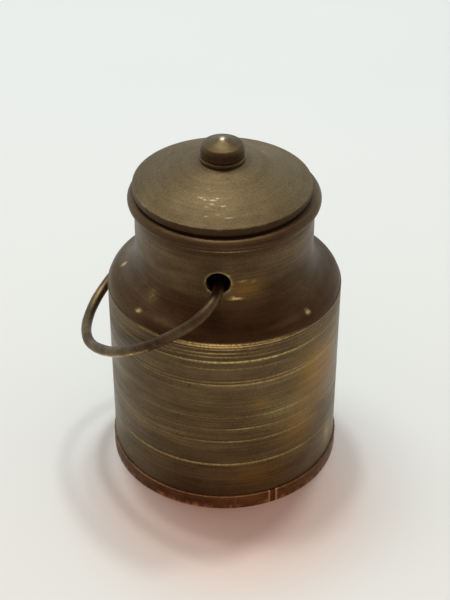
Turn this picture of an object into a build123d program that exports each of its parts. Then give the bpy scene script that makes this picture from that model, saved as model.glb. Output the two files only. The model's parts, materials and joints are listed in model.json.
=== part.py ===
"""Small turned brass milk can with a loose lid and a wire bail handle.

Millimetres, +Z up. The origin is the centre of the base, on the surface the can stands on.
The bail hinges about a line along Y and, at rest, hangs down towards -X.
"""

import os
from math import atan2, cos, degrees, radians, sin

from build123d import *

# Can body: one turned shell
body_radius = 22.0
wall = 1.2
shoulder_height = 38.7
shoulder_step = 0.2
shoulder_crown_radius = 2.2
shoulder_cove_radius = 5.7
neck_radius = 16.5
neck_length = 11.54
rim_bead_radius = 1.15
groove_depth = 0.12
grooves_above_base = [11.15, 16.75, 19.7]
grooves_below_shoulder = [8.55, 7.75, 3.2, 2.15, 1.35, 0.5]

# Base: a plate soldered inside the wall, with a strip bent round the outside
base_thickness = 1.2
base_clearance = 0.05
solder_leg = 1.0
hoop_thickness = 0.36
hoop_height = 3.05
hoop_edge_round = 0.12
hoop_gap = 1.1
hoop_gap_azimuth = -61.7
hoop_solder_recess = 0.1
hoop_gap_cut = 1.44

# Bail: one bent wire in two drilled holes
wire_radius = 1.0
hole_radius = 2.1
hole_above_cove = 2.29
hole_clearance = 0.05
bail_sag_angle = 37.3
bail_side_gap = 0.1
bail_crown_gap = 3.67
bail_heel_radius = 6.3
bail_crown_radius = 18.0
pin_length_inside = 2.4

# Lid: a turned cover with a locating ring under it
lid_overlap = 1.0
lid_gap = 0.05
lid_side_height = 1.5
lid_edge_bevel = 0.25
lid_wall = 1.3
lid_rise = 4.6
lid_dome = 0.35
ring_flange_height = 0.35
ring_flange_overhang = 0.6
ring_depth = 3.5
ring_wall = 1.0
lid_play = 0.65
lid_shift = 0.36

# Knob: riveted through the middle of the cover
knob_radius = 3.95
knob_barrel_height = 2.4
knob_shoulder_radius = 1.0
knob_tip_height = 1.05
knob_foot_bevel = 0.2
collar_overhang = 0.25
collar_height = 0.85
collar_rounding = 0.28
shank_radius = 1.25
shank_clearance = 0.03
washer_radius = 2.7
washer_thickness = 0.4
rivet_radius = 2.0
rivet_face_radius = 1.2
rivet_height = 0.7

# Worked out from the sizes above
crown_centre = (body_radius - shoulder_step - shoulder_crown_radius, shoulder_height)
cove_centre_x = neck_radius + shoulder_cove_radius
arc_centre_distance = shoulder_crown_radius + shoulder_cove_radius
arc_centre_run = cove_centre_x - crown_centre[0]
arc_centre_rise = (arc_centre_distance**2 - arc_centre_run**2) ** 0.5
cove_centre = (cove_centre_x, shoulder_height + arc_centre_rise)
shoulder_turn = degrees(atan2(arc_centre_rise, arc_centre_run))
groove_heights = grooves_above_base + [shoulder_height - drop for drop in grooves_below_shoulder]
neck_top = cove_centre[1] + neck_length
rim_bead_height = neck_top - rim_bead_radius
body_bore = body_radius - shoulder_step - wall
neck_bore = neck_radius - wall
hole_height = cove_centre[1] + hole_above_cove
hinge_height = hole_height - hole_radius + wire_radius + hole_clearance
sag = radians(bail_sag_angle)
bail_half_width = body_radius + wire_radius + bail_side_gap
bail_reach = (body_radius + wire_radius + bail_crown_gap) / cos(sag)
lid_radius = neck_bore + lid_overlap
lid_bottom = neck_top + lid_gap + ring_flange_height
lid_edge_top = lid_bottom + lid_side_height
ring_outside = neck_bore - lid_play
ring_inside = ring_outside - ring_wall
collar_radius = knob_radius + collar_overhang
shank_hole_radius = shank_radius + shank_clearance
knob_seat = lid_edge_top + lid_rise
lid_inside_top = knob_seat - lid_wall
washer_bottom = lid_inside_top - washer_thickness
knob_bottom = knob_seat + collar_height
knob_top = knob_bottom + knob_barrel_height + knob_tip_height
lid_axis = Axis((-lid_shift, 0, 0), (0, 0, 1))
lid_plane = Plane(origin=(-lid_shift, 0, 0), x_dir=(1, 0, 0), z_dir=(0, -1, 0))

os.makedirs("parts", exist_ok=True)


def shoulder_arcs(inset):
    """Draw the crown and the cove of the shoulder, moved in from the outside by inset."""
    crown = CenterArc(crown_centre, shoulder_crown_radius - inset, 0, shoulder_turn)
    cove = CenterArc(cove_centre, shoulder_cove_radius + inset, 180 + shoulder_turn, -shoulder_turn)
    return crown, cove


# Can body: straight wall, rounded shoulder, coved neck and a half-round bead at the mouth
with BuildPart() as can_body:
    with BuildSketch(Plane.XZ):
        with BuildLine():
            outer_crown, outer_cove = shoulder_arcs(0)
            Polyline((body_bore, 0), (body_radius, 0), (body_radius, shoulder_height), outer_crown @ 0)
            neck_line = Line(outer_cove @ 1, (neck_radius, rim_bead_height - rim_bead_radius))
            ThreePointArc(
                neck_line @ 1,
                (neck_radius + rim_bead_radius, rim_bead_height),
                (neck_radius, neck_top),
            )
            inner_crown, inner_cove = shoulder_arcs(wall)
            Polyline((neck_radius, neck_top), (neck_bore, neck_top), inner_cove @ 1)
            Line(inner_crown @ 0, (body_bore, 0))
        make_face()
        with Locations(*[(body_radius, height) for height in groove_heights]):
            RegularPolygon(groove_depth, side_count=4, mode=Mode.SUBTRACT)
    revolve(axis=Axis.Z)
    with BuildSketch(Plane.XZ):
        with Locations((0, hole_height)):
            Circle(hole_radius)
    extrude(amount=body_radius, both=True, mode=Mode.SUBTRACT)
can_body.part.label = "can_body"
export_step(can_body.part, "parts/can_body.step")

# Base plate: a disc let into the bottom of the wall, flush with its edge
with BuildPart() as base_disc:
    with BuildSketch():
        Circle(body_bore - base_clearance)
    extrude(amount=base_thickness)
base_disc.part.label = "base_disc"
export_step(base_disc.part, "parts/base_disc.step")

# Soft solder run round the inside corner between the plate and the wall
with BuildPart() as base_solder:
    with BuildSketch(Plane.XZ):
        with BuildLine():
            Polyline(
                (body_bore - solder_leg, base_thickness),
                (body_bore, base_thickness),
                (body_bore, base_thickness + solder_leg),
                close=True,
            )
        make_face()
    revolve(axis=Axis.Z)
base_solder.part.label = "base_solder"
export_step(base_solder.part, "parts/base_solder.step")

# Base hoop: a thin strip bent round the foot of the wall, its two ends nearly meeting
hoop_gap_plane = Plane.XY.rotated((0, 0, hoop_gap_azimuth))
with BuildPart() as base_hoop:
    with BuildSketch():
        Circle(body_radius + hoop_thickness)
        Circle(body_radius, mode=Mode.SUBTRACT)
    extrude(amount=hoop_height)
    fillet(base_hoop.edges().group_by(Axis.Z)[-1].sort_by(SortBy.LENGTH)[-1], hoop_edge_round)
    with BuildSketch(hoop_gap_plane):
        with Locations((body_radius, 0)):
            Rectangle(hoop_gap_cut, hoop_gap)
    extrude(amount=hoop_height, mode=Mode.SUBTRACT)
base_hoop.part.label = "base_hoop"
export_step(base_hoop.part, "parts/base_hoop.step")

# Solder that fills the gap between the strip's two ends
with BuildPart() as hoop_solder:
    with BuildSketch(hoop_gap_plane):
        with Locations((body_radius, 0)):
            Rectangle(hoop_gap_cut, hoop_gap)
        Circle(body_radius + hoop_thickness - hoop_solder_recess, mode=Mode.INTERSECT)
        Circle(body_radius, mode=Mode.SUBTRACT)
    extrude(amount=hoop_height - hoop_solder_recess)
hoop_solder.part.label = "hoop_solder"
export_step(hoop_solder.part, "parts/hoop_solder.step")

# Bail: straight pins through the holes, then heels, sides and a crown, all tangent arcs in one
# plane that runs through the hinge line and slopes down towards -X
bail_plane = Plane(
    origin=(0, 0, hinge_height),
    x_dir=(-cos(sag), 0, -sin(sag)),
    z_dir=(sin(sag), 0, -cos(sag)),
)
pin_start = neck_bore - pin_length_inside
heel_start = bail_half_width - bail_heel_radius
crown_centre_u = bail_reach - bail_crown_radius
side_run = crown_centre_u - bail_heel_radius
side_radius = (side_run**2 + bail_half_width**2 - bail_crown_radius**2) / (
    2 * (bail_half_width - bail_crown_radius)
)
crown_angle = degrees(atan2(side_radius - bail_half_width, side_run))
with BuildPart() as bail:
    with BuildLine(bail_plane) as bail_path:
        Line((0, pin_start), (0, heel_start))
        CenterArc((bail_heel_radius, heel_start), bail_heel_radius, 180, -90)
        side_centre = (bail_heel_radius, bail_half_width - side_radius)
        CenterArc(side_centre, side_radius, 90, crown_angle - 90)
        CenterArc((crown_centre_u, 0), bail_crown_radius, crown_angle, -crown_angle)
        mirror(about=Plane.XZ)
    with BuildSketch(Plane(origin=(0, pin_start, hinge_height), z_dir=(0, 1, 0))):
        Circle(wire_radius)
    sweep(path=bail_path.wire())
bail.part.label = "bail"
export_step(bail.part, "parts/bail.step")

# Lid cover: a turned disc with a bevelled edge and a shallow dome, hollow underneath
with BuildPart() as lid_cover:
    with BuildSketch(lid_plane):
        with BuildLine():
            edge = Polyline(
                (ring_inside, lid_bottom),
                (lid_radius - lid_edge_bevel, lid_bottom),
                (lid_radius, lid_bottom + lid_edge_bevel),
                (lid_radius, lid_edge_top),
            )
            dome = SagittaArc(edge @ 1, (collar_radius, knob_seat), -lid_dome)
            seat = Polyline(
                dome @ 1,
                (shank_hole_radius, knob_seat),
                (shank_hole_radius, lid_inside_top),
                (collar_radius, lid_inside_top),
            )
            SagittaArc(seat @ 1, edge @ 0, lid_dome)
        make_face()
    revolve(axis=lid_axis)
lid_cover.part.label = "lid_cover"
export_step(lid_cover.part, "parts/lid_cover.step")

# Locating ring under the cover: its flange sits on the mouth and its skirt drops into the neck
with BuildPart() as lid_ring:
    with BuildSketch(lid_plane):
        with BuildLine():
            Polyline(
                (ring_inside, neck_top - ring_depth),
                (ring_outside, neck_top - ring_depth),
                (ring_outside, neck_top + lid_gap),
                (neck_bore + ring_flange_overhang, neck_top + lid_gap),
                (neck_bore + ring_flange_overhang, lid_bottom),
                (ring_inside, lid_bottom),
                close=True,
            )
        make_face()
    revolve(axis=lid_axis)
lid_ring.part.label = "lid_ring"
export_step(lid_ring.part, "parts/lid_ring.step")

# Collar: a thin ring with a rounded rim between the cover and the knob
with BuildPart() as knob_collar:
    with BuildSketch(Plane(origin=(-lid_shift, 0, knob_seat))):
        Circle(collar_radius)
        Circle(shank_hole_radius, mode=Mode.SUBTRACT)
    extrude(amount=collar_height)
    fillet(knob_collar.edges().filter_by(GeomType.CIRCLE).sort_by(SortBy.RADIUS)[-2:], collar_rounding)
knob_collar.part.label = "knob_collar"
export_step(knob_collar.part, "parts/knob_collar.step")

# Knob: a barrel with a rounded shoulder and a low pointed top, turned in one piece with the
# shank that passes through the cover and is riveted over a washer underneath
with BuildPart() as knob:
    with BuildSketch(lid_plane):
        with BuildLine():
            shank = Polyline(
                (0, washer_bottom - rivet_height),
                (rivet_face_radius, washer_bottom - rivet_height),
                (rivet_radius, washer_bottom),
                (shank_radius, washer_bottom),
                (shank_radius, knob_bottom),
                (knob_radius - knob_foot_bevel, knob_bottom),
                (knob_radius, knob_bottom + knob_foot_bevel),
                (knob_radius, knob_bottom + knob_barrel_height - knob_shoulder_radius),
            )
            shoulder = RadiusArc(
                shank @ 1,
                (knob_radius - knob_shoulder_radius, knob_bottom + knob_barrel_height),
                -knob_shoulder_radius,
            )
            Polyline(shoulder @ 1, (0, knob_top), shank @ 0)
        make_face()
    revolve(axis=lid_axis)
knob.part.label = "knob"
export_step(knob.part, "parts/knob.step")

# Washer under the cover that the knob's shank is riveted over
with BuildPart() as knob_washer:
    with BuildSketch(Plane(origin=(-lid_shift, 0, washer_bottom))):
        Circle(washer_radius)
        Circle(shank_hole_radius, mode=Mode.SUBTRACT)
    extrude(amount=washer_thickness)
knob_washer.part.label = "knob_washer"
export_step(knob_washer.part, "parts/knob_washer.step")
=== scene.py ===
import bpy
import bmesh
import json
import numpy as np
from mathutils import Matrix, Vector


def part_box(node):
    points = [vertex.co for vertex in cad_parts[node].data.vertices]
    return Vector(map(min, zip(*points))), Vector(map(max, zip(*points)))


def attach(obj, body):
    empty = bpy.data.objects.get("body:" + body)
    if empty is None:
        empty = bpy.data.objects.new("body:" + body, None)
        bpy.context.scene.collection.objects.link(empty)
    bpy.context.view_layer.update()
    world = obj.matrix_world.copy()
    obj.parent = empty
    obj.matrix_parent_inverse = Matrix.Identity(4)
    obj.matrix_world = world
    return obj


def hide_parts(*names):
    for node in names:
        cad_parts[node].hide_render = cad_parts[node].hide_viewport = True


# A small turned brass milk can with a loose lid and a wire bail. Lengths are in millimetres
# until a mesh is written in metres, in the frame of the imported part.
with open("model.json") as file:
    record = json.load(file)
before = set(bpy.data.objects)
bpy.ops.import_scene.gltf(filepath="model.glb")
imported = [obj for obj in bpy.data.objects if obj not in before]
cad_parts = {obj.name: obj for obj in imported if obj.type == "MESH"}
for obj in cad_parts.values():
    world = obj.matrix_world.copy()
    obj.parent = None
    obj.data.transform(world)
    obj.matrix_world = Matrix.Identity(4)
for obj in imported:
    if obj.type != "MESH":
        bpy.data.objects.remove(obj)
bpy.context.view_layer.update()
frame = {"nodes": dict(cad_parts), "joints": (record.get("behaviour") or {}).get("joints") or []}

# --------------------------------------------------------------------
# Can body. One brass shell turned on a lathe: a straight wall, a rounded shoulder, a coved neck
# and a bead at the mouth, with two holes drilled across the neck for the bail. The tool has left
# rings in the wall, and the shoulder's edge is rubbed to bright brass.
# --------------------------------------------------------------------
millimetre = 0.001


def node_box(name):
    """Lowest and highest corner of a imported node, in millimetres."""
    low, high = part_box(name)
    return np.array(low) / millimetre, np.array(high) / millimetre


def arc(centre, radius, start, end, steps):
    """Arc of a circle: centre plus radius times (cos a, sin a), for even steps of a, in degrees."""
    angle = np.radians(np.linspace(start, end, steps + 1))
    return np.stack([centre[0] + radius * np.cos(angle), centre[1] + radius * np.sin(angle)], 1)


def run(start, end, spacing):
    """Straight run of evenly spaced points from start up to, but without, end."""
    start, end = np.array(start, float), np.array(end, float)
    steps = max(1, int(np.ceil(np.linalg.norm(end - start) / spacing)))
    return start + (end - start) * (np.arange(steps) / steps)[:, None]


def distance_along(line):
    """Length of a line up to each of its points."""
    return np.concatenate([[0.0], np.cumsum(np.linalg.norm(np.diff(line, axis=0), axis=1))])


def tool_marks(outline, height, spacing, seed):
    """Outline moved along its own normal by a random wave: random heights every spacing
    millimetres of its length, with straight slopes between them."""
    along = distance_along(outline)
    knots = np.arange(0, along[-1] + spacing, spacing)
    wave = np.interp(along, knots, np.random.default_rng(seed).uniform(-height, height, len(knots)))
    direction = np.gradient(outline, axis=0)
    direction /= np.maximum(np.linalg.norm(direction, axis=1, keepdims=True), 1e-9)
    return outline + wave[:, None] * np.stack([direction[:, 1], -direction[:, 0]], 1)


def turned(outline, columns, centre=(0.0, 0.0)):
    """Surface of revolution. Outline point (r, z) at azimuth a is (r cos a, r sin a, z), moved to
    the centre. Columns wrap round, and so do rows, unless the outline ends on the axis: then one
    point closes each pole. Gives points, faces, and each point's distance along the outline."""
    azimuth = np.arange(columns) * 2 * np.pi / columns
    along = distance_along(outline)
    poles = outline[:, 0] < 1e-6
    radius, height = outline[~poles, 0][:, None], outline[~poles, 1][:, None]
    x, y = centre[0] + radius * np.cos(azimuth), centre[1] + radius * np.sin(azimuth)
    points = np.stack([x, y, height + 0 * x], -1).reshape(-1, 3)
    index = np.arange(len(points)).reshape(-1, columns)
    first, second = (index[:-1], index[1:]) if poles.any() else (index, np.roll(index, -1, 0))
    cells = np.stack([first, np.roll(first, -1, 1), np.roll(second, -1, 1), second], -1)
    faces = cells.reshape(-1, 4).tolist()
    length = np.repeat(along[~poles], columns)
    if poles.any():
        tips = [[*centre, outline[0, 1]], [*centre, outline[-1, 1]]]
        faces += [[len(points), b, a] for a, b in zip(index[0], np.roll(index[0], -1))]
        faces += [[len(points) + 1, a, b] for a, b in zip(index[-1], np.roll(index[-1], -1))]
        points = np.vstack([points, tips])
        length = np.concatenate([length, along[poles]])
    return points, faces, length


def piece(name, points, faces, **attributes):
    """Mesh object from points in millimetres, its faces turned outward, smooth but for its sharp
    corners, with one float attribute for each array of values."""
    mesh = bpy.data.meshes.new(name)
    mesh.from_pydata((np.asarray(points) * millimetre).tolist(), [], faces)
    skin = bmesh.new()
    skin.from_mesh(mesh)
    bmesh.ops.recalc_face_normals(skin, faces=skin.faces)
    skin.to_mesh(mesh)
    skin.free()
    mesh.shade_smooth()
    mesh.set_sharp_from_angle(angle=np.radians(38))
    for label, values in attributes.items():
        layer = mesh.attributes.new(label, "FLOAT", "POINT")
        layer.data.foreach_set("value", np.asarray(values, np.float32))
    made = bpy.data.objects.new(name, mesh)
    bpy.context.scene.collection.objects.link(made)
    return made


def around(points):
    """Azimuth of each point about the can's axis, in degrees."""
    return np.degrees(np.arctan2(points[:, 1], points[:, 0]))


def patch(value, middle, reach):
    """Soft bump: 1 at the middle, falling as a bell curve whose width is reach."""
    return np.exp(-(((value - middle) / reach) ** 2))


can_high = node_box("can_body")[1]
body_radius, mouth_height = can_high[0], can_high[2]
wall = 1.2
shoulder_height = 38.7
shoulder_step = 0.2
crown_radius = 2.2
cove_radius = 5.7
neck_radius = 16.5
bead_radius = 1.15
bead_height = mouth_height - bead_radius
mouth_ease = 0.15
edge_drop = 0.06
edge_inset = 0.05
bore_radius = body_radius - shoulder_step - wall
neck_bore = neck_radius - wall
crown_centre = np.array([body_radius - shoulder_step - crown_radius, shoulder_height])
cove_x = neck_radius + cove_radius
cove_run = cove_x - crown_centre[0]
cove_rise = ((crown_radius + cove_radius) ** 2 - cove_run**2) ** 0.5
cove_centre = np.array([cove_x, shoulder_height + cove_rise])
shoulder_turn = np.degrees(np.arctan2(cove_rise, cove_run))

groove_heights = np.array([11.15, 16.75, 19.7, 22.5, 30.15, 30.95, 33.7, 35.5, 36.55, 37.35, 38.2])
groove_depths = np.array([0.11, 0.10, 0.09, 0.03, 0.11, 0.09, 0.03, 0.12, 0.07, 0.09, 0.11])
groove_half_width = 0.16
wall_row = 0.42
mark_height = 0.01

hole_radius = 2.1
hole_rise = 2.29
hole_height = cove_centre[1] + hole_rise
hole_chamfer = 0.16
columns = 288
cells_across_hole = 12
margin_cells = 3
cell = 2 * np.pi * neck_radius / columns
hole_half_side = cells_across_hole / 2 * cell
patch_half_side = hole_half_side + margin_cells * cell
hole_rows = hole_height + cell * np.arange(-cells_across_hole / 2 - margin_cells,
                                           cells_across_hole / 2 + margin_cells + 1)


def neck_surface(cove, height):
    """Radius of the neck at a height: straight above the cove's centre, and below it an arc of the
    cove's radius about that centre."""
    below = np.maximum(cove_centre[1] - height, 0)
    return cove_x - np.sqrt(cove**2 - below**2)


def can_outline():
    """Closed outline of the shell, up the outside and down the inside, as (r, z) rows. The wall's
    radius is cut by a small triangle at each groove. Also gives the rows where the drilled stretch
    outside, the bore below the mouth, and the drilled stretch inside begin."""
    near = groove_heights[:, None] + groove_half_width * np.array([-1, -0.5, 0, 0.5, 1])
    heights = np.unique(np.concatenate([np.arange(0.0, shoulder_height, wall_row), near.ravel()]))
    heights = heights[heights < shoulder_height - edge_drop]
    cut = groove_depths * np.maximum(
        1 - np.abs(heights[:, None] - groove_heights) / groove_half_width, 0)
    straight = np.stack([body_radius - cut.max(1) - mark_height, heights], 1)
    straight = tool_marks(straight, mark_height, 0.5, 17)
    ledge = np.array([(body_radius, shoulder_height - edge_drop),
                      (body_radius - edge_inset, shoulder_height)])
    crown = arc(crown_centre, crown_radius, 0, shoulder_turn, 14)
    cove_end = 180 + np.degrees(np.arcsin((cove_centre[1] - hole_rows[0]) / cove_radius))
    cove = arc(cove_centre, cove_radius, 180 + shoulder_turn, cove_end, 18)[1:-1]
    drilled = np.stack([neck_surface(cove_radius, hole_rows), hole_rows], 1)
    upper = run((neck_radius, hole_rows[-1]), (neck_radius, bead_height - bead_radius), 0.15)[1:]
    bead = arc((neck_radius, bead_height), bead_radius, -90, 90, 18)
    mouth_edge = mouth_height - mouth_ease
    mouth = arc((neck_bore + mouth_ease, mouth_edge), mouth_ease, 90, 180, 4)
    inner_upper = run((neck_bore, mouth_edge), (neck_bore, hole_rows[-1]), 0.6)[1:]
    inner_cove = cove_radius + wall
    inner_drilled = np.stack([neck_surface(inner_cove, hole_rows), hole_rows], 1)[::-1]
    inner_end = 180 + np.degrees(np.arcsin((cove_centre[1] - hole_rows[0]) / inner_cove))
    under = arc(cove_centre, inner_cove, inner_end, 180 + shoulder_turn, 12)[1:]
    inner_crown = arc(crown_centre, crown_radius - wall, shoulder_turn, 0, 8)[1:]
    inside = run((bore_radius, shoulder_height), (bore_radius, 0.0), 3.0)[1:]
    foot = np.array([(bore_radius, 0.0)])
    parts = [straight, ledge, crown, cove, drilled, upper, bead, mouth, inner_upper,
             inner_drilled, under, inner_crown, inside, foot]
    starts = np.concatenate([[0], np.cumsum([len(part) for part in parts])])
    return np.vstack(parts), starts[4], starts[8], starts[9]


def drill(points, faces, outer_row, inner_row):
    """Opens both holes. Round each one, the grid of the outer and of the inner wall is stretched so
    that a square of cells becomes a circle: a point at square distance c from the hole's centre
    moves to a blend of the circle and its own square, by how far c is from the hole's side to the
    patch's side. The cells inside are dropped, and the two circles are joined by a tunnel with a
    small chamfer. Gives points, faces, and which of the old points are still used."""
    half, margin = cells_across_hole // 2, margin_cells
    reach = half + margin
    steps = np.arange(-reach, reach + 1)
    faces = np.array(faces)
    dropped = np.zeros(len(faces), bool)
    ring = [(half, i) for i in range(-half, half)] + [(i, half) for i in range(half, -half, -1)]
    ring += [(-half, i) for i in range(half, -half, -1)] + [(i, -half) for i in range(-half, half)]
    ring = np.array(ring)
    tunnels = []
    for side in (-1, 1):
        middle = columns * 3 // 4 if side < 0 else columns // 4
        u, v = np.meshgrid(steps * cell, steps * cell)
        square = np.maximum(np.abs(u), np.abs(v))
        blend = np.clip((square - hole_half_side) / (patch_half_side - hole_half_side), 0, 1)
        loops = []
        for row, radius, cove, opening, flip in (
            (outer_row, neck_radius, cove_radius, hole_radius + hole_chamfer, 1),
            (inner_row, neck_bore, cove_radius + wall, hole_radius, -1),
        ):
            length = np.maximum(np.hypot(u, v), 1e-9)
            scale = (1 - blend) * opening / length + blend
            across = u * scale
            sideways = np.sin(u / neck_radius) * radius * blend + across * (1 - blend)
            height = hole_height + v * scale
            new_radius = neck_surface(cove, height)
            depth = np.sqrt(np.maximum(new_radius**2 - sideways**2, 0))
            rows = row + (steps + reach if flip > 0 else reach - steps)
            index = rows[:, None] * columns + (middle - side * steps)[None, :] % columns
            points[index] = np.stack([sideways, side * depth, height], -1)
            cells = rows[:-1] if flip > 0 else rows[1:]
            inside = np.abs(steps[:-1] + 0.5) < half
            left = (middle - side * steps[:-1]) - (1 if side > 0 else 0)
            cut_out = cells[inside][:, None] * columns + left[inside][None, :] % columns
            dropped[cut_out.ravel()] = True
            loops.append(index[ring[:, 0] + reach, ring[:, 1] + reach])
        circle = points[loops[0]]
        across, up = circle[:, 0], circle[:, 2] - hole_height
        shrink = hole_radius / np.hypot(across, up)
        across, up = across * shrink, up * shrink
        depth = np.sqrt(neck_radius**2 - across**2) - hole_chamfer
        start = len(points)
        points = np.vstack([points, np.stack([across, side * depth, hole_height + up], -1)])
        chamfer = np.arange(start, len(points))
        for first, second in ((loops[0], chamfer), (chamfer, loops[1])):
            tunnels.append(np.stack([first, np.roll(first, -1), np.roll(second, -1), second], -1))
    faces = np.vstack([faces[~dropped], *tunnels])
    used, faces = np.unique(faces, return_inverse=True)
    return points[used], faces.reshape(-1, 4), used


def node(tree, kind, sockets=None, **settings):
    """Adds a shader node. Each of sockets is a value to set or another node's output to link."""
    made = tree.nodes.new(kind)
    for label, value in settings.items():
        setattr(made, label, value)
    for label, value in (sockets or {}).items():
        if isinstance(value, bpy.types.NodeSocket):
            tree.links.new(value, made.inputs[label])
        else:
            made.inputs[label].default_value = value
    return made


def colour(r, g, b):
    """Linear colour from three screen values between 0 and 255."""
    screen = np.array([r, g, b]) / 255
    linear = np.where(screen <= 0.04045, screen / 12.92, ((screen + 0.055) / 1.055) ** 2.4)
    return (*linear, 1.0)


def blended(tree, share, first, second):
    """Mix of two colours, of which each is a colour or an output."""
    mix = node(tree, "ShaderNodeMix", {0: share, 6: first, 7: second}, data_type="RGBA")
    return mix.outputs[2]


def ramp(tree, value, low, high, start=0.0, end=1.0):
    """Value taken from between low and high to between start and end, and held there."""
    made = node(tree, "ShaderNodeMapRange", {0: value, 1: low, 2: high, 3: start, 4: end})
    return made.outputs[0]


def attribute(tree, name):
    """Value of a mesh's own attribute."""
    return node(tree, "ShaderNodeAttribute", attribute_name=name).outputs["Fac"]


dirt_brown = colour(38, 26, 17)
orange_patina_and_reflection = colour(148, 109, 46)
tarnish_brown = colour(60, 35, 23)
tarnish_roughness = 0.58
ring_drift = 55.0
pits_per_metre = 900.0
grains_per_metre = 2600.0


def aged_brass(name, dark, light, worn_and_highlight, roughness=0.38, marks=0.5, marks_per_mm=4.0, clouds_mm=9.0,
               grain=0.6):
    """Old turned brass. Clouds of patina clouds_mm wide, drawn out round the axis, go from dark to
    light. Rings, marks_per_mm of them and as strong as marks, follow the outline by the attribute
    "along" and drift a little round the axis. Fine grains and dark pits are sprinkled over, and
    grain is how far the tool's rings draw a highlight out. The attributes for wear, warmth and
    tarnish rub the brass bright, warm it to orange, or darken it; besides rubbed metal, thin orange
    patina and dark patina, they carry painted highlights and glints, a painted warm reflection and
    painted shade."""
    material = bpy.data.materials.new(name)
    material.use_nodes = True
    tree = material.node_tree
    tree.nodes.clear()
    place = node(tree, "ShaderNodeTexCoord").outputs["Object"]
    parts = node(tree, "ShaderNodeSeparateXYZ", {0: place})
    drawn_out = node(tree, "ShaderNodeVectorMath", {0: place, 1: (0.4, 0.4, 1.0)},
                     operation="MULTIPLY")
    clouds = node(tree, "ShaderNodeTexNoise", {
        "Vector": drawn_out.outputs[0], "Scale": 1000 / clouds_mm, "Detail": 7.0, "Roughness": 0.66})
    flow = node(tree, "ShaderNodeCombineXYZ", {
        0: node(tree, "ShaderNodeMath", {0: attribute(tree, "along"), 1: marks_per_mm},
                operation="MULTIPLY").outputs[0],
        1: node(tree, "ShaderNodeMath", {0: parts.outputs[0], 1: ring_drift},
                operation="MULTIPLY").outputs[0],
        2: node(tree, "ShaderNodeMath", {0: parts.outputs[1], 1: ring_drift},
                operation="MULTIPLY").outputs[0],
    })
    rings = node(tree, "ShaderNodeTexNoise",
                 {"Vector": flow.outputs[0], "Scale": 1.0, "Detail": 5.0, "Roughness": 0.7})
    bands = node(tree, "ShaderNodeVectorMath", {0: flow.outputs[0], 1: (0.16, 0.5, 0.5)},
                 operation="MULTIPLY")
    wide_rings = node(tree, "ShaderNodeTexNoise",
                      {"Vector": bands.outputs[0], "Scale": 1.0, "Detail": 3.0, "Roughness": 0.6})
    pits = node(tree, "ShaderNodeTexNoise",
                {"Vector": place, "Scale": pits_per_metre, "Detail": 4.0, "Roughness": 0.7})
    grains = node(tree, "ShaderNodeTexNoise",
                  {"Vector": place, "Scale": grains_per_metre, "Detail": 2.0, "Roughness": 0.5})
    share = ramp(tree, clouds.outputs[0], 0.36, 0.64)
    patina = blended(tree, share, dark, light)
    ring_shade = ramp(tree, rings.outputs[0], 0.3, 0.7, 0.55, 1.4)
    band_shade = ramp(tree, wide_rings.outputs[0], 0.32, 0.68, 0.78, 1.2)
    both = node(tree, "ShaderNodeMath", {0: ring_shade, 1: band_shade}, operation="MULTIPLY")
    grain_shade = ramp(tree, grains.outputs[0], 0.3, 0.7, 0.87, 1.13)
    patina = node(tree, "ShaderNodeMix", {0: marks, 6: patina, 7: both.outputs[0]},
                  data_type="RGBA", blend_type="MULTIPLY").outputs[2]
    patina = node(tree, "ShaderNodeMix", {0: 1.0, 6: patina, 7: grain_shade},
                  data_type="RGBA", blend_type="MULTIPLY").outputs[2]
    pitted = ramp(tree, pits.outputs[0], 0.28, 0.38, 0.55, 0.0)
    patina = blended(tree, pitted, patina, dirt_brown)
    orange = node(tree, "ShaderNodeMath", {
        0: attribute(tree, "warm"), 1: ramp(tree, rings.outputs[0], 0.35, 0.6, 0.4, 1.0)},
        operation="MULTIPLY")
    patina = blended(tree, orange.outputs[0], patina, orange_patina_and_reflection)
    tarnish_and_shade_share = node(tree, "ShaderNodeMath", {
        0: attribute(tree, "tarnish"), 1: ramp(tree, clouds.outputs[0], 0.3, 0.6, 1.0, 0.7)},
        operation="MULTIPLY")
    patina = blended(tree, tarnish_and_shade_share.outputs[0], patina, tarnish_brown)
    broken = node(tree, "ShaderNodeMath", {
        0: ramp(tree, rings.outputs[0], 0.4, 0.62, 0.4, 1.0),
        1: ramp(tree, grains.outputs[0], 0.4, 0.6, 0.6, 1.2)}, operation="MULTIPLY")
    rubbed_and_highlit = node(tree, "ShaderNodeMath", {0: attribute(tree, "wear"), 1: broken.outputs[0]},
                  operation="MULTIPLY", use_clamp=True)
    patina = blended(tree, rubbed_and_highlit.outputs[0], patina, worn_and_highlight)
    dull = ramp(tree, clouds.outputs[0], 0.35, 0.65, roughness + 0.07, roughness - 0.05)
    dull = node(tree, "ShaderNodeMix",
                {0: tarnish_and_shade_share.outputs[0], 2: dull, 3: tarnish_roughness}).outputs[0]
    gloss = node(tree, "ShaderNodeMix",
                 {0: rubbed_and_highlit.outputs[0], 2: dull, 3: 0.65 * roughness}).outputs[0]
    relief = node(tree, "ShaderNodeMath", {0: rings.outputs[0], 1: pits.outputs[0]},
                  operation="ADD")
    bump = node(tree, "ShaderNodeBump",
                {"Strength": 0.5, "Distance": 0.00006, "Height": relief.outputs[0]})
    shader = node(tree, "ShaderNodeBsdfPrincipled", {
        "Base Color": patina, "Metallic": 1.0, "Roughness": gloss, "Normal": bump.outputs[0],
        "Anisotropic": grain, "Anisotropic Rotation": 0.25})
    if grain:
        tangent = node(tree, "ShaderNodeTangent", direction_type="RADIAL", axis="Z")
        tree.links.new(tangent.outputs[0], shader.inputs["Tangent"])
    node(tree, "ShaderNodeOutputMaterial", {0: shader.outputs[0]})
    return material


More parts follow.
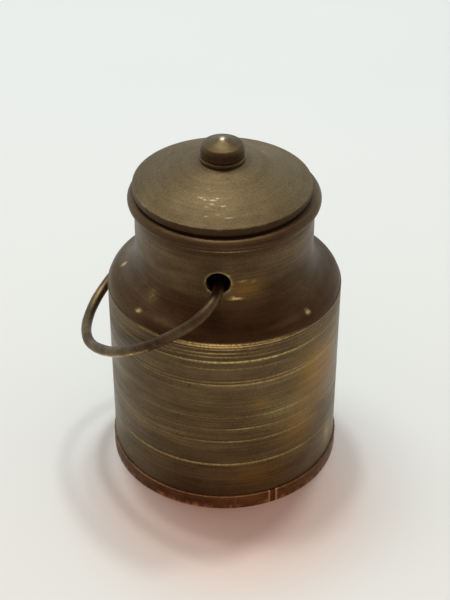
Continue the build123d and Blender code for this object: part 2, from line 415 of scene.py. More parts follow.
outline, outer_row, mouth_row, inner_row = can_outline()
points, faces, along = turned(outline, columns)
points, faces, used = drill(points, faces, outer_row, inner_row)
along = np.concatenate([along, np.full(used.max() + 1, along.mean())])[used]
azimuth, height = around(points), points[:, 2]
radius = np.hypot(points[:, 0], points[:, 1])
outside = (along < distance_along(outline)[mouth_row]).astype(float)
scuffs = np.interp(azimuth % 360, np.linspace(0, 360, 60),
                   np.random.default_rng(11).uniform(0.5, 1.0, 60))


def rubbed_band(middle, reach, level, thickness):
    """Rub along a ring: a bell in azimuth times a narrower bell in height."""
    return patch(azimuth, middle, reach) * patch(height, level, thickness)


# The shoulder's edge is rubbed bright; the edges of the rings are rubbed bright too and carry
# painted highlights along the grooves' lower facets: height, strength, azimuth, reach.
line_width = 0.11
shoulder_rub = 3.0 * rubbed_band(-86, 23, shoulder_height + 0.05, 0.26)
wear = (shoulder_rub + 0.25 * patch(height, shoulder_height, 0.2)) * scuffs
for level, strength, middle, reach in (
    (38.05, 0.55, -88, 20), (37.2, 0.45, -92, 20), (36.4, 0.28, -88, 24), (35.3, 0.62, -78, 34),
    (33.6, 0.15, -84, 30), (30.75, 0.35, -62, 22), (29.98, 0.6, -84, 36), (26.6, 0.3, -60, 17),
    (22.35, 0.3, -60, 14), (21.2, 0.25, -80, 9), (19.53, 0.6, -76, 9), (16.58, 0.42, -78, 30),
    (10.98, 0.48, -92, 44),
):
    rubbed_and_highlit_line = rubbed_band(middle, reach, level, line_width) + 0.16 * patch(height, level, line_width)
    wear += 1.7 * strength * rubbed_and_highlit_line * (0.4 + 0.6 * scuffs)

# Nicks that show fresh metal, and at -176 degrees a painted glint: azimuth, height, half length
# in degrees, half height.
for nick_azimuth, nick_height, long, tall in (
    (-134.8, 40.6, 1.1, 0.15), (-39.4, 40.65, 1.0, 0.18), (-176, 41.6, 1.2, 0.3),
    (-118, 37.9, 1.0, 0.2), (-75, 48.9, 2.2, 0.08), (-68, 48.6, 1.4, 0.12), (-79, 45.2, 3.2, 0.12),
    (62, 40.9, 1.2, 0.25), (96, 34.2, 1.6, 0.2), (150, 22.0, 1.0, 0.3),
):
    wear += 1.6 * rubbed_band(nick_azimuth, long, nick_height, tall)

# Faint rubs on the wall and on the shoulder, and the bright edge of each hole; the strong line
# under the bead in front is a painted highlight, and the spot low on the wall at -21 degrees a
# painted reflection.
for strength, middle, reach, level, tall in (
    (1.4, -86, 16, 55.2, 0.13), (0.11, -57, 15, 21, 5.5), (0.3, -21, 3.5, 8.0, 2.6),
    (0.22, -134, 4, 42.8, 0.9),
):
    wear += strength * rubbed_band(middle, reach, level, tall)
edge_of_hole = np.hypot(points[:, 0], height - hole_height)
wear += 0.7 * patch(edge_of_hole, hole_radius + 0.1, 0.22) * (radius < neck_radius + 0.3)

# Patches where the patina is thin and orange, and at -21 degrees, low on the wall, a painted warm
# reflection: strength, azimuth, reach, height, half height.
warm = np.zeros(len(points))
for strength, middle, reach, level, tall in (
    (0.9, -73, 10, 47.2, 1.9), (0.9, -36, 13, 27.5, 6.5), (0.6, -45, 12, 16, 5),
    (0.5, -20, 8, 26, 9), (0.4, -68, 5, 25, 1.2), (0.5, -70, 13, 7.5, 3.0), (0.5, -21, 5, 8.5, 3.0),
    (0.35, 140, 24, 20, 9), (0.25, 40, 20, 31, 5),
):
    warm += strength * rubbed_band(middle, reach, level, tall)

# The neck and the shoulder are darker all round, and painted shade, for the dark room in front
# that they reflect, darkens them further in front below a line that rises to the right.
shade_line = 45.4 + 2.2 * patch(azimuth, -40, 26)
shade_softness = 0.35
painted_front_shade = (1 + 0.45 * patch(azimuth, -118, 18)) / (1 + ((azimuth + 88) / 78) ** 6)
tarnish = 0.42 * painted_front_shade / (1 + np.exp((height - shade_line) / shade_softness)) + 0.4
tarnish = tarnish * (height > shoulder_height - 0.02) * (1 - 0.35 * rubbed_band(-72, 12, 47.2, 2.2))
# A painted shadow in a thin band under the bead and painted shade on the front of the rim; the wall is
# also darker low in front, in a band in front just under the shoulder, and in a broad patch on the left.
tarnish += 0.25 * patch(height, 54.6, 0.5) + 0.42 * patch(height, 57.0, 1.0) * patch(azimuth, -90, 55)
tarnish += 0.35 * rubbed_band(-80, 60, 6.0, 4.0) + 0.3 * rubbed_band(-88, 45, 36.9, 2.4)
tarnish += 0.12 * rubbed_band(-155, 28, 22, 14)
can = piece(
    "can_shell", points, faces.tolist(), along=along, wear=np.clip(wear, 0, 2.5) * outside,
    warm=warm * outside, tarnish=np.where(outside > 0, tarnish, 0.5))
can.data.materials.append(aged_brass(
    "body_brass", colour(82, 67, 45), colour(108, 91, 64), colour(222, 196, 132), marks=0.7))
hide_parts("can_body")
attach(can, "can")

# --------------------------------------------------------------------
# Base plate and its solder. A plain brass disc closes the bottom, sweated in with soft solder
# that stands as a dull grey fillet round the inside corner. Both are seen with the lid off.
# --------------------------------------------------------------------
base_low, base_high = node_box("base_disc")


def soft_solder(name, hollows, tops):
    """Dull tin and lead solder: lumps half a millimetre wide, lighter on their tops."""
    material = bpy.data.materials.new(name)
    material.use_nodes = True
    tree = material.node_tree
    tree.nodes.clear()
    place = node(tree, "ShaderNodeTexCoord").outputs["Object"]
    lumps = node(tree, "ShaderNodeTexNoise",
                 {"Vector": place, "Scale": 1400.0, "Detail": 4.0, "Roughness": 0.6})
    tint = blended(tree, ramp(tree, lumps.outputs[0], 0.35, 0.65), hollows, tops)
    bump = node(tree, "ShaderNodeBump",
                {"Strength": 0.6, "Distance": 0.0001, "Height": lumps.outputs[0]})
    shader = node(tree, "ShaderNodeBsdfPrincipled", {
        "Base Color": tint, "Metallic": 1.0, "Normal": bump.outputs[0],
        "Roughness": ramp(tree, lumps.outputs[0], 0.3, 0.7, 0.6, 0.4)})
    node(tree, "ShaderNodeOutputMaterial", {0: shader.outputs[0]})
    return material


base_radius = base_high[0]
plate_row = 0.6
under_side = run((0.0, base_low[2]), (base_radius, base_low[2]), plate_row)
upper_side = run((0.0, base_high[2]), (base_radius, base_high[2]), plate_row)[::-1]
plate_edge = [(base_radius, base_low[2]), (base_radius, base_high[2])]
plate_outline = np.vstack([under_side, plate_edge, upper_side])
points, faces, along = turned(plate_outline, 144)
plate = piece("base_plate", points, faces, along=along, wear=0 * along, warm=0 * along,
              tarnish=0.5 + 0 * along)
plate.data.materials.append(aged_brass(
    "plate_brass", colour(100, 82, 54), colour(128, 106, 72), colour(200, 165, 98), 0.42))
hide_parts("base_disc")
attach(plate, "can")
frame["nodes"]["base_solder"].data.materials.clear()
frame["nodes"]["base_solder"].data.materials.append(
    soft_solder("inside_solder", colour(96, 90, 82), colour(152, 146, 136)))

# --------------------------------------------------------------------
# Foot hoop. A thin strip of redder brass bent round the foot, its two ends soldered where they
# nearly meet. It was trimmed with a file, which left a burr along part of its lower edge.
# --------------------------------------------------------------------
hoop_high = node_box("base_hoop")[1]
hoop_thickness = hoop_high[1] - body_radius
hoop_height = hoop_high[2]
joint_azimuth = -61.7
joint_half_width = 0.55
joint_half_angle = np.degrees(joint_half_width / body_radius)
strip_stations = 1400
strip_inset = 0.035
strip_wave = 0.02
dent_depth = 0.018
edge_wander = 0.1
burr_out = 0.45
burr_up = 0.35


def bent_strip(thickness, height, start, end, stations):
    """Strip bent round the can. Its section is a rectangle with rounded outer corners, carried
    round the axis from azimuth start to end. Its outer face goes in and out by a slow sine and by
    random dents, which also lower its upper edge. The burr is a row of random lumps that stand out
    from the lower edge and lift it, most of all in front."""
    ease = thickness / 3
    corners = np.vstack([
        arc((thickness - ease, ease), ease, -90, 0, 3),
        run((thickness, ease), (thickness, height - ease), 0.3)[1:],
        arc((thickness - ease, height - ease), ease, 0, 90, 3),
        [(0.0, height), (0.0, 0.0)],
    ])
    angle = np.radians(np.linspace(start, end, stations))[:, None]
    turn = np.degrees(angle)
    out, up = corners[None, :, 0], corners[None, :, 1]
    outer = out / thickness
    random = np.random.default_rng(5)
    ragged = np.interp(turn % 360, np.linspace(0, 360, 420), random.uniform(0, 1, 420) ** 1.5)
    dents = np.interp(turn % 360, np.linspace(0, 360, 150), random.uniform(-1, 1, 150))
    burr = ragged * (patch(turn, -104, 17) + 0.4 * patch(turn, -150, 30) + 0.3 * patch(turn, -75, 14))
    wave = strip_wave * np.sin(np.radians(turn) * 7 + 1.0) + dent_depth * dents - strip_inset
    top = up / height
    radius = body_radius + out + outer * (wave + burr_out * burr * patch(up, 0.25, 0.35))
    lifted = burr_up * np.roll(ragged, 2, 0) * patch(turn, -106, 26)
    level = up - edge_wander * top * (0.5 + 0.5 * dents) + outer * (1 - top) ** 4 * lifted
    points = np.stack([radius * np.cos(angle), radius * np.sin(angle), level], -1)
    count = len(corners)
    index = np.arange(points[..., 0].size).reshape(stations, count)
    near, far = index[:-1], index[1:]
    faces = np.stack([near, far, np.roll(far, -1, 1), np.roll(near, -1, 1)], -1).reshape(-1, 4)
    ends = [index[0].tolist(), index[-1][::-1].tolist()]
    return points.reshape(-1, 3), faces.tolist() + ends


points, faces = bent_strip(hoop_thickness, hoop_height, joint_azimuth + joint_half_angle,
                           joint_azimuth + 360 - joint_half_angle, strip_stations)
azimuth, height = around(points), points[:, 2]
from_joint = (azimuth - joint_azimuth + 180) % 360 - 180
flakes = np.interp(azimuth % 360, np.linspace(0, 360, 300),
                   np.random.default_rng(6).uniform(0, 1, 300) ** 3)
joint_edges = 2.6 * patch(from_joint, joint_half_angle, 0.7)
joint_edges += 2.0 * patch(from_joint, -joint_half_angle, 0.6)
upper_edge = 0.36 * patch(height, hoop_height - 0.08, 0.12) * (0.3 + patch(azimuth, -100, 40))
lower_edge = (0.5 + 1.2 * flakes) * patch(height, 0.18, 0.28) * patch(azimuth, -104, 18)
scratch = 0.3 * patch(from_joint, -19, 0.2)
hoop_wear = joint_edges + upper_edge + lower_edge + scratch + 0.5 * flakes * patch(height, 0.5, 0.5)
hoop_tarnish = 0.3 * patch(azimuth, -160, 50) + 0.25 * flakes + 0.25 * patch(azimuth, -32, 20)
hoop = piece("foot_hoop", points, faces, along=height, wear=1.6 * hoop_wear,
             warm=0.2 * patch(azimuth, -50, 14), tarnish=hoop_tarnish)
hoop.data.materials.append(aged_brass(
    "hoop_copper", colour(88, 58, 38), colour(126, 88, 60), colour(216, 172, 124),
    0.44, 0.8, 5.0, 3.0))
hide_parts("base_hoop")
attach(hoop, "can")
frame["nodes"]["hoop_solder"].data.materials.clear()
frame["nodes"]["hoop_solder"].data.materials.append(
    soft_solder("joint_solder", colour(84, 57, 37), colour(118, 86, 58)))

# --------------------------------------------------------------------
# Bail. One length of hard brass wire bent by hand: a straight pin through each hole, then a heel,
# a long side and a wide crown. Its lower side is rubbed bright where it rests and is handled.
# --------------------------------------------------------------------
bail_low, bail_high = node_box("bail")
hinge = np.array(next(j for j in frame["joints"] if j["name"] == "bail_hinge")["pos_m"]) / millimetre
wire_radius = 1.0
sag = np.radians(37.3)
bail_half_width = bail_high[1] - wire_radius
bail_reach = (-bail_low[0] - wire_radius) / np.cos(sag)
heel_radius = 6.3
bail_crown_radius = 18.0
pin_inside = 2.4
pin_start = neck_bore - pin_inside
bend_size = 0.05
bend_knots = 24
bend_width = 13
fade_length = 14.0
rubbed_side = np.array([0, -0.25, -0.97])


def bail_line():
    """Centreline in the bail's own plane, as (distance from the hinge line, y): a straight pin, then
    heel, side and half the crown as tangent arcs, and from the middle on the same mirrored."""
    heel_y = bail_half_width - heel_radius
    crown_u = bail_reach - bail_crown_radius
    side_run = crown_u - heel_radius
    side_radius = (side_run**2 + bail_half_width**2 - bail_crown_radius**2) / (
        2 * (bail_half_width - bail_crown_radius))
    crown_angle = np.degrees(np.arctan2(side_radius - bail_half_width, side_run))
    half = np.vstack([
        run((0, pin_start), (0, heel_y), 0.3),
        arc((heel_radius, heel_y), heel_radius, 180, 90, 30)[:-1],
        arc((heel_radius, bail_half_width - side_radius), side_radius, 90, crown_angle, 70)[:-1],
        arc((crown_u, 0), bail_crown_radius, crown_angle, 0, 36),
    ])
    return np.vstack([half, (half * (1, -1))[-2::-1]])


def swept_wire(line, radius, sides, seed):
    """Round wire along a line. At each station a circle stands across the line, in the frame of the
    line's tangent and the plane's normal. Slow random bends in both directions and a slight
    thinning fade out at the pins, and each end is a blunt cap that closes on one point. Gives
    points, faces, and each point's distance along the wire and how far it faces the rubbed side."""
    along = distance_along(line)
    middle = np.clip(np.minimum(along, along[-1] - along) / fade_length - 0.6, 0, 1)
    knots = np.linspace(0, along[-1], bend_knots)
    random = np.random.default_rng(seed)

    def slow_bend():
        """Random heights at the knots, joined, smoothed over bend_width stations and faded out."""
        heights = np.interp(along, knots, random.uniform(-bend_size, bend_size, bend_knots))
        padded = np.pad(heights, bend_width // 2, "edge")
        return np.convolve(padded, np.ones(bend_width) / bend_width, "valid") * middle

    bend, lift = slow_bend(), slow_bend()
    tangent = np.gradient(line, axis=0)
    tangent /= np.linalg.norm(tangent, axis=1, keepdims=True)
    side = np.stack([tangent[:, 1], -tangent[:, 0]], 1)
    out = np.array([-np.cos(sag), 0, -np.sin(sag)])
    across = np.array([0.0, 1.0, 0.0])
    normal = np.cross(out, across)
    centre = hinge + line[:, :1] * out + line[:, 1:] * across
    beside = side[:, :1] * out + side[:, 1:] * across
    centre = centre + bend[:, None] * beside + lift[:, None] * normal
    angle = np.arange(sides) * 2 * np.pi / sides
    thick = radius * (1 - 0.012 * middle * (1 + np.sin(along * 0.9)))
    ends = np.ones(len(line))
    ends[0] = ends[-1] = 0.9
    rings = (thick * ends)[:, None, None] * (
        np.cos(angle)[None, :, None] * beside[:, None, :] + np.sin(angle)[None, :, None] * normal)
    points = (centre[:, None, :] + rings).reshape(-1, 3)
    index = np.arange(len(points)).reshape(-1, sides)
    near, far = index[:-1], index[1:]
    cells = np.stack([near, far, np.roll(far, -1, 1), np.roll(near, -1, 1)], -1)
    faces = cells.reshape(-1, 4).tolist()
    tips = len(points)
    faces += [[tips, a, b] for a, b in zip(index[0], np.roll(index[0], -1))]
    faces += [[tips + 1, b, a] for a, b in zip(index[-1], np.roll(index[-1], -1))]
    points = np.vstack([points, centre[0], centre[-1]])
    lengths = np.concatenate([np.repeat(along, sides), [0, along[-1]]])
    down = np.concatenate([(rings @ rubbed_side / radius).ravel(), [0, 0]])
    return points, faces, lengths, down


points, faces, along, down = swept_wire(bail_line(), wire_radius, 28, 3)
total = along.max()
handled = np.interp(along, np.linspace(0, total, 34),
                    np.random.default_rng(8).uniform(0, 1, 34) ** 1.5)
under = np.clip(down - 0.3, 0, 1) * 1.4
front_side = (points[:, 1] < 0).astype(float)
front_rub = patch(points[:, 1], -17.5, 3.5) + 0.5 * patch(points[:, 1], -21.5, 1.5)
bail_wear = under * (0.25 * handled * front_side + 1.4 * front_rub * (points[:, 0] < -12))
bail_tarnish = 0.3 * (1 - handled) * np.clip(-down, 0, 1) + 0.35 * (points[:, 0] > -13)
bail = piece("bail_handle", points, faces, along=along * 0.12, wear=1.5 * bail_wear,
             warm=0.08 * handled, tarnish=bail_tarnish)
bail.data.materials.append(aged_brass(
    "bail_wire_brass", colour(68, 50, 33), colour(108, 94, 70), colour(214, 182, 108),
    0.42, 0.5, 5.0, 4.0, 0.0))
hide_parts("bail")
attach(bail, "handle")

# --------------------------------------------------------------------
# Lid cover. A turned disc, slightly domed and rising to the knob, hollow underneath. Its top has
# fine tool rings all the way in, and pale specks where the patina has chipped.
# --------------------------------------------------------------------
cover_low, cover_high = node_box("lid_cover")
collar_low, collar_high = node_box("knob_collar")
ring_low, ring_high = node_box("lid_ring")
lid_centre = ((cover_low[0] + cover_high[0]) / 2, (cover_low[1] + cover_high[1]) / 2)
lid_radius = (cover_high[0] - cover_low[0]) / 2
lid_bottom, lid_top = cover_low[2], cover_high[2]
lid_side = 1.5
lid_bevel = 0.25
lid_corner = 0.12
lid_dome = 0.35
lid_wall = 1.3
collar_radius = (collar_high[0] - collar_low[0]) / 2
shank_hole = 1.28
ring_inside = 13.65


def domed(start, end, rise, spacing):
    """Slope from start to end, raised across its chord by rise times 4 t (1 - t)."""
    start, end = np.array(start, float), np.array(end, float)
    chord = end - start
    t = np.linspace(0, 1, int(np.linalg.norm(chord) / spacing) + 1)[:, None]
    across = np.array([-chord[1], chord[0]]) / np.linalg.norm(chord)
    if across[1] < 0:
        across = -across
    return start + t * chord + across * rise * 4 * t * (1 - t)


edge_top = lid_bottom + lid_side
cover_top = domed((lid_radius - lid_corner, edge_top + 0.02), (collar_radius - 0.3, lid_top),
                  lid_dome, 0.13)
cover_top = tool_marks(cover_top, 0.006, 0.26, 21)
cover_outline = np.vstack([
    run((ring_inside, lid_bottom), (lid_radius - lid_bevel, lid_bottom), 0.5),
    run((lid_radius - lid_bevel, lid_bottom), (lid_radius, lid_bottom + lid_bevel), 0.2),
    run((lid_radius, lid_bottom + lid_bevel), (lid_radius, edge_top - lid_corner), 0.25),
    arc((lid_radius - lid_corner, edge_top - lid_corner), lid_corner, 0, 75, 4),
    cover_top,
    run((collar_radius - 0.5, lid_top), (shank_hole, lid_top), 0.6),
    run((shank_hole, lid_top), (shank_hole, lid_top - lid_wall), 0.6),
    run((shank_hole, lid_top - lid_wall), (collar_radius, lid_top - lid_wall), 0.6),
    domed((collar_radius, lid_top - lid_wall), (ring_inside, lid_bottom), lid_dome, 0.5)[:-1],
])
points, faces, along = turned(cover_outline, 288, lid_centre)
radius = np.hypot(points[:, 0] - lid_centre[0], points[:, 1] - lid_centre[1])
azimuth, height = around(points), points[:, 2]
on_top = (height > edge_top - 0.05) & (along < distance_along(cover_outline).max() * 0.62)
edge_nicks = np.interp(azimuth % 360, np.linspace(0, 360, 150),
                       np.random.default_rng(19).uniform(0, 1, 150) ** 4)
lid_wear = 0.3 * edge_nicks * patch(height, edge_top - 0.1, 0.2) * patch(radius, lid_radius, 0.4)

# Pale specks, as azimuth, distance from the knob's axis, and size.
for speck_azimuth, speck_radius, size in (
    (-108.7, 10.6, 0.24), (-104, 10.9, 0.16), (-96.7, 10.8, 0.26), (-93, 10.4, 0.16),
    (-97, 11.6, 0.2), (-87.3, 11.9, 0.2), (-83.0, 14.2, 0.26), (-91, 13.6, 0.16), (-99, 14.0, 0.14),
    (-101, 12.2, 0.14), (150, 12.0, 0.2), (40, 9.0, 0.2), (-20, 13.0, 0.16), (78, 13.8, 0.2),
    (112, 7.6, 0.16),
):
    beside = np.radians(azimuth - speck_azimuth) * radius
    lid_wear += 0.75 * patch(beside, 0, size * 2.0) * patch(radius, speck_radius, size * 0.5)
# Painted shade round the foot of the knob's collar, and a faint darker ring further out; off the top,
# the sides and underside are darker.
lid_tarnish = np.where(on_top, 0.3 * patch(radius, 4.6, 0.9) + 0.1 * patch(radius, 8.0, 1.0), 0.8)
lid = piece("lid_shell", points, faces, along=along, wear=lid_wear,
            warm=0 * along, tarnish=lid_tarnish)
lid.data.materials.append(aged_brass(
    "lid_brass", colour(97, 83, 59), colour(115, 100, 73), colour(182, 172, 146),
    0.56, 0.3, 5.0, 14.0, 0.45))
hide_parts("lid_cover")
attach(lid, "lid")

# --------------------------------------------------------------------
# Locating ring. A turned ring soldered under the cover: its flange rests on the mouth and its
# skirt drops into the neck, with the lower edge eased so that the lid goes in without catching.
# --------------------------------------------------------------------
ring_gap = 0.65
ring_ease = 0.3
inside_chamfer = 0.2
flange_thickness = 0.35
flange_ease = 0.05
ring_outside = neck_bore - ring_gap
flange_radius = (ring_high[0] - ring_low[0]) / 2
flange_bottom = ring_high[2] - flange_thickness
skirt = np.vstack([
    run((ring_inside + inside_chamfer, ring_low[2]), (ring_outside - ring_ease, ring_low[2]), 0.3),
    arc((ring_outside - ring_ease, ring_low[2] + ring_ease), ring_ease, -90, 0, 5),
    run((ring_outside, ring_low[2] + ring_ease), (ring_outside, flange_bottom), 0.2)[1:],
    run((ring_outside, flange_bottom), (flange_radius - flange_ease, flange_bottom), 0.3),
    arc((flange_radius - flange_ease, flange_bottom + flange_ease), flange_ease, -90, 0, 2),
    run((flange_radius, flange_bottom + 2 * flange_ease), (flange_radius, ring_high[2]), 0.1),
    run((flange_radius, ring_high[2]), (ring_inside, ring_high[2]), 0.5),
    run((ring_inside, ring_high[2]), (ring_inside, ring_low[2] + inside_chamfer), 0.3),
])
points, faces, along = turned(skirt, 216, lid_centre)
lid_ring = piece("lid_skirt", points, faces, along=along, warm=0 * along,
                 wear=0.4 * patch(points[:, 2], ring_low[2], 0.5), tarnish=0.3 + 0 * along)
lid_ring.data.materials.append(aged_brass(
    "skirt_brass", colour(80, 66, 44), colour(110, 92, 64), colour(214, 180, 110),
    0.4, 0.6, 4.0, 7.0))
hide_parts("lid_ring")
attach(lid_ring, "lid")

# --------------------------------------------------------------------
# Knob, collar and washer. The knob is turned in one piece with its shank, which passes through a
# round-edged collar and the cover and is riveted over a washer underneath.
# --------------------------------------------------------------------
knob_low, knob_high = node_box("knob")
washer_low, washer_high = node_box("knob_washer")
knob_radius = (knob_high[0] - knob_low[0]) / 2
knob_bottom, knob_top = collar_high[2], knob_high[2]
knob_shoulder = 1.0
tip_height = 1.05
barrel_top = knob_top - tip_height
shank_radius = 1.25
rivet_radius = 2.0
washer_bottom = washer_low[2]
rivet_share = 0.6
rivet_rise = 0.02
knob_ease = 0.2
tip_blunt = 0.35
cone_foot = knob_radius - knob_shoulder
cone_slope = tip_height / cone_foot
cone = run((cone_foot, barrel_top), (tip_blunt, knob_top - tip_blunt * cone_slope), 0.12)
tip = tip_blunt * np.cos(np.linspace(0, np.pi / 2, 7))[:-1, None]
tip = np.hstack([tip, knob_top - tip_blunt * cone_slope / 2 * (1 + (tip / tip_blunt) ** 2)])
rivet_flat = (rivet_radius * rivet_share, knob_low[2] + rivet_rise)
barrel = run((knob_radius, knob_bottom + knob_ease), (knob_radius, barrel_top - knob_shoulder), 0.08)
knob_outline = np.vstack([
    [(0.0, knob_low[2])],
    run((0.6, knob_low[2]), rivet_flat, 0.3),
    run(rivet_flat, (rivet_radius, washer_bottom), 0.25),
    run((rivet_radius, washer_bottom), (shank_radius, washer_bottom), 0.3),
    run((shank_radius, washer_bottom), (shank_radius, knob_bottom), 0.4),
    run((shank_radius, knob_bottom), (knob_radius - knob_ease, knob_bottom), 0.5),
    run((knob_radius - knob_ease, knob_bottom), (knob_radius, knob_bottom + knob_ease), 0.15),
    tool_marks(barrel, 0.006, 0.2, 31),
    arc((cone_foot, barrel_top - knob_shoulder), knob_shoulder, 0, 70, 14),
    tool_marks(cone, 0.004, 0.22, 32)[1:],
    tip,
    [(0.0, knob_top - tip_blunt * cone_slope / 2)],
])
points, faces, along = turned(knob_outline, 144, lid_centre)
radius = np.hypot(points[:, 0] - lid_centre[0], points[:, 1] - lid_centre[1])
# A painted glint on the knob's tip, and painted shade darkening the barrel towards its foot by the
# collar.
knob_wear = 0.8 * patch(radius, 0, 0.5) * (points[:, 2] > barrel_top)
knob = piece("lid_knob", points, faces, along=along, wear=1.8 * knob_wear, warm=0 * along,
             tarnish=0.12 + 0.75 * patch(points[:, 2], knob_bottom + 0.8, 1.6))
knob.data.materials.append(aged_brass(
    "knob_brass", colour(86, 74, 50), colour(110, 97, 70), colour(230, 216, 182),
    0.42, 0.4, 5.0, 6.0, 0.2))
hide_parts("knob")
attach(knob, "lid")

collar_bottom, collar_top = collar_low[2], collar_high[2]
collar_ease = (collar_top - collar_bottom) / 3
collar_outline = np.vstack([
    run((shank_hole, collar_bottom), (collar_radius - collar_ease, collar_bottom), 0.5),
    arc((collar_radius - collar_ease, collar_bottom + collar_ease), collar_ease, -90, 0, 6),
    arc((collar_radius - collar_ease, collar_top - collar_ease), collar_ease, 0, 90, 6),
    run((collar_radius - collar_ease, collar_top), (shank_hole, collar_top), 0.5)[1:],
    [(shank_hole, collar_top)],
])
points, faces, along = turned(collar_outline, 144, lid_centre)
collar = piece("lid_knob_collar", points, faces, along=along, warm=0 * along,
               tarnish=0.55 + 0 * along,
               wear=0.06 * patch(points[:, 2], collar_top - 0.2, 0.25))
collar.data.materials.append(aged_brass(
    "collar_brass", colour(80, 66, 44), colour(106, 90, 64), colour(210, 190, 142),
    0.34, 0.5, 5.0, 6.0))
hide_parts("knob_collar")
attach(collar, "lid")

washer_radius = (washer_high[0] - washer_low[0]) / 2
washer_top = washer_high[2]
washer_ease = 0.08
washer_outline = np.vstack([
    run((shank_hole, washer_bottom), (washer_radius - washer_ease, washer_bottom), 0.3),
    arc((washer_radius - washer_ease, washer_bottom + washer_ease), washer_ease, -90, 0, 3),
    run((washer_radius, washer_bottom + 0.1), (washer_radius, washer_top), 0.2),
    run((washer_radius, washer_top), (shank_hole, washer_top), 0.4),
    [(shank_hole, washer_top)],
])
points, faces, along = turned(washer_outline, 96, lid_centre)
washer = piece("rivet_washer", points, faces, along=along, warm=0 * along, tarnish=0.3 + 0 * along,
               wear=0.2 + 0 * along)
washer.data.materials.append(aged_brass(
    "washer_brass", colour(112, 92, 60), colour(150, 126, 84), colour(220, 186, 110),
    0.4, 0.4, 3.0, 3.0))
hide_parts("knob_washer")
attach(washer, "lid")

# --------------------------------------------------------------------
# Floor, light and camera. A plain pale table top, painted a little darker and cooler far off for
# the fall of light, with a painted pink shadow in front of the can, under a pale sky that is
# darker and warmer behind the camera. Three round lamps hang high over the can, and a long lens
# looks down at it.
# --------------------------------------------------------------------
floor_half = 3.0
floor_near = (0.775, 0.79, 0.76, 1)
floor_far = (0.72, 0.775, 0.785, 1)
floor_mottle = (0.77, 0.80, 0.79, 1)
painted_shadow_pink = (0.80, 0.50, 0.40, 1)
painted_shadow_centre = (0.003, -0.020, 0.0)
painted_shadow_reach = 0.036
painted_shadow_core = 0.006
painted_shadow_strength = 0.72
floor_mesh = bpy.data.meshes.new("floor")
floor_mesh.from_pydata([(-floor_half, -floor_half, 0), (floor_half, -floor_half, 0),
                        (floor_half, floor_half, 0), (-floor_half, floor_half, 0)], [], [(0, 1, 2, 3)])
floor = bpy.data.objects.new("floor", floor_mesh)
bpy.context.scene.collection.objects.link(floor)
table_top = bpy.data.materials.new("table_top")
table_top.use_nodes = True
tree = table_top.node_tree
tree.nodes.clear()
place = node(tree, "ShaderNodeTexCoord").outputs["Object"]
back_to_front = node(tree, "ShaderNodeSeparateXYZ", {0: place}).outputs[1]
mottle = node(tree, "ShaderNodeTexNoise", {"Vector": place, "Scale": 14.0, "Detail": 2.0})
# The tone is painted warmer near the can and camera and darker and cooler far off, standing for the fall
# of light over the table.
tone = blended(tree, ramp(tree, back_to_front, -0.08, 0.16), floor_near, floor_far)
tone = blended(tree, ramp(tree, mottle.outputs[0], 0.3, 0.7, 0.0, 0.2), tone, floor_mottle)
# A painted pink shadow in front of the can, strongest near its foot.
from_can = node(tree, "ShaderNodeVectorMath", {0: place, 1: painted_shadow_centre}, operation="DISTANCE")
painted_shadow = node(tree, "ShaderNodeMapRange",
             {0: from_can.outputs["Value"], 1: painted_shadow_reach, 2: painted_shadow_core, 3: 0.0, 4: painted_shadow_strength},
             interpolation_type="SMOOTHSTEP").outputs[0]
tone = blended(tree, painted_shadow, tone, painted_shadow_pink)
shader = node(tree, "ShaderNodeBsdfPrincipled", {"Base Color": tone, "Roughness": 0.5})
node(tree, "ShaderNodeOutputMaterial", {0: shader.outputs[0]})
floor_mesh.materials.append(table_top)

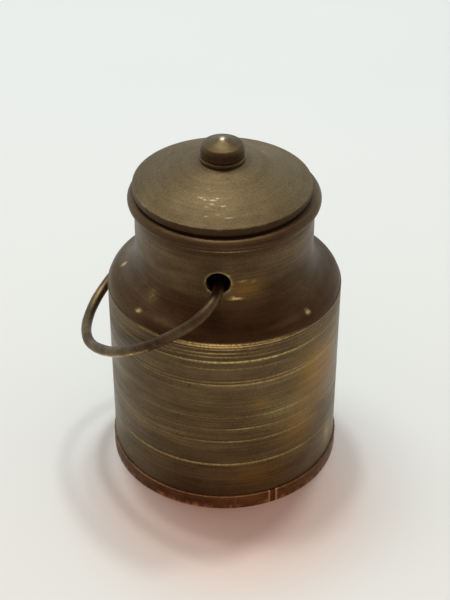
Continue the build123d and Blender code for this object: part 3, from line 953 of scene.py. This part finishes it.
sky_low = (0.84, 0.90, 0.90, 1)
sky_high = (0.46, 0.47, 0.46, 1)
room_brown = (0.43, 0.33, 0.285, 1)
room_direction = (0.0, -0.82, 0.57)
seen_low = (0.58, 0.585, 0.57, 1)
seen_high = (0.66, 0.70, 0.69, 1)
sky_strength = 1.17
world = bpy.data.worlds.new("studio")
bpy.context.scene.world = world
world.use_nodes = True
tree = world.node_tree
tree.nodes.clear()
direction = node(tree, "ShaderNodeTexCoord").outputs["Generated"]
up = node(tree, "ShaderNodeSeparateXYZ", {0: direction}).outputs[2]
sky = blended(tree, ramp(tree, up, 0.3, 0.8), sky_low, sky_high)
toward_room = node(tree, "ShaderNodeVectorMath", {0: direction, 1: room_direction},
                   operation="DOT_PRODUCT").outputs["Value"]
room_share = node(tree, "ShaderNodeMapRange", {0: toward_room, 1: 0.0, 2: 0.55, 3: 0.0, 4: 1.0},
                  interpolation_type="SMOOTHSTEP").outputs[0]
sky = blended(tree, room_share, sky, room_brown)
seen = node(tree, "ShaderNodeLightPath").outputs["Is Camera Ray"]
distance = blended(tree, ramp(tree, up, 0.0, 0.3), seen_low, seen_high)
sky = blended(tree, seen, sky, distance)
background = node(tree, "ShaderNodeBackground", {"Color": sky, "Strength": sky_strength})
node(tree, "ShaderNodeOutputWorld", {0: background.outputs[0]})

lamp_distance = 0.9
lamp_white = (0.97, 1.0, 0.98)


def ceiling_lamp(name, toward, size, power):
    """Round area light at lamp_distance in a direction, aimed at the origin and unseen itself."""
    light = bpy.data.lights.new(name, "AREA")
    light.shape, light.size, light.energy, light.color = "DISK", size, power, lamp_white
    made = bpy.data.objects.new(name, light)
    bpy.context.scene.collection.objects.link(made)
    made.location = Vector(toward).normalized() * lamp_distance
    made.rotation_euler = (-made.location).to_track_quat("-Z", "Y").to_euler()
    made.visible_camera = False


ceiling_lamp("lamp_left", (-3.4, 6.2, 27.1), 0.09, 1.7)
ceiling_lamp("lamp_right", (3.6, 8.4, 27.1), 0.11, 1.6)
ceiling_lamp("lamp_side", (-21, 15, 59.6), 0.25, 1.1)

camera_azimuth, camera_elevation = np.radians(3.79), np.radians(35.56)
camera_distance = 0.2696
camera_lens = 84.7
aim = Vector((0.0001, 0.0, 0.0332))
back = Vector((np.sin(camera_azimuth) * np.cos(camera_elevation),
               -np.cos(camera_azimuth) * np.cos(camera_elevation), np.sin(camera_elevation)))
camera_data = bpy.data.cameras.new("camera")
camera_data.lens = camera_lens
camera_data.clip_start, camera_data.clip_end = 0.01, 10
camera = bpy.data.objects.new("camera", camera_data)
bpy.context.scene.collection.objects.link(camera)
camera.location = aim + back * camera_distance
camera.rotation_euler = (-back).to_track_quat("-Z", "Y").to_euler()
bpy.context.scene.camera = camera
bpy.context.scene.view_settings.view_transform = "Standard"
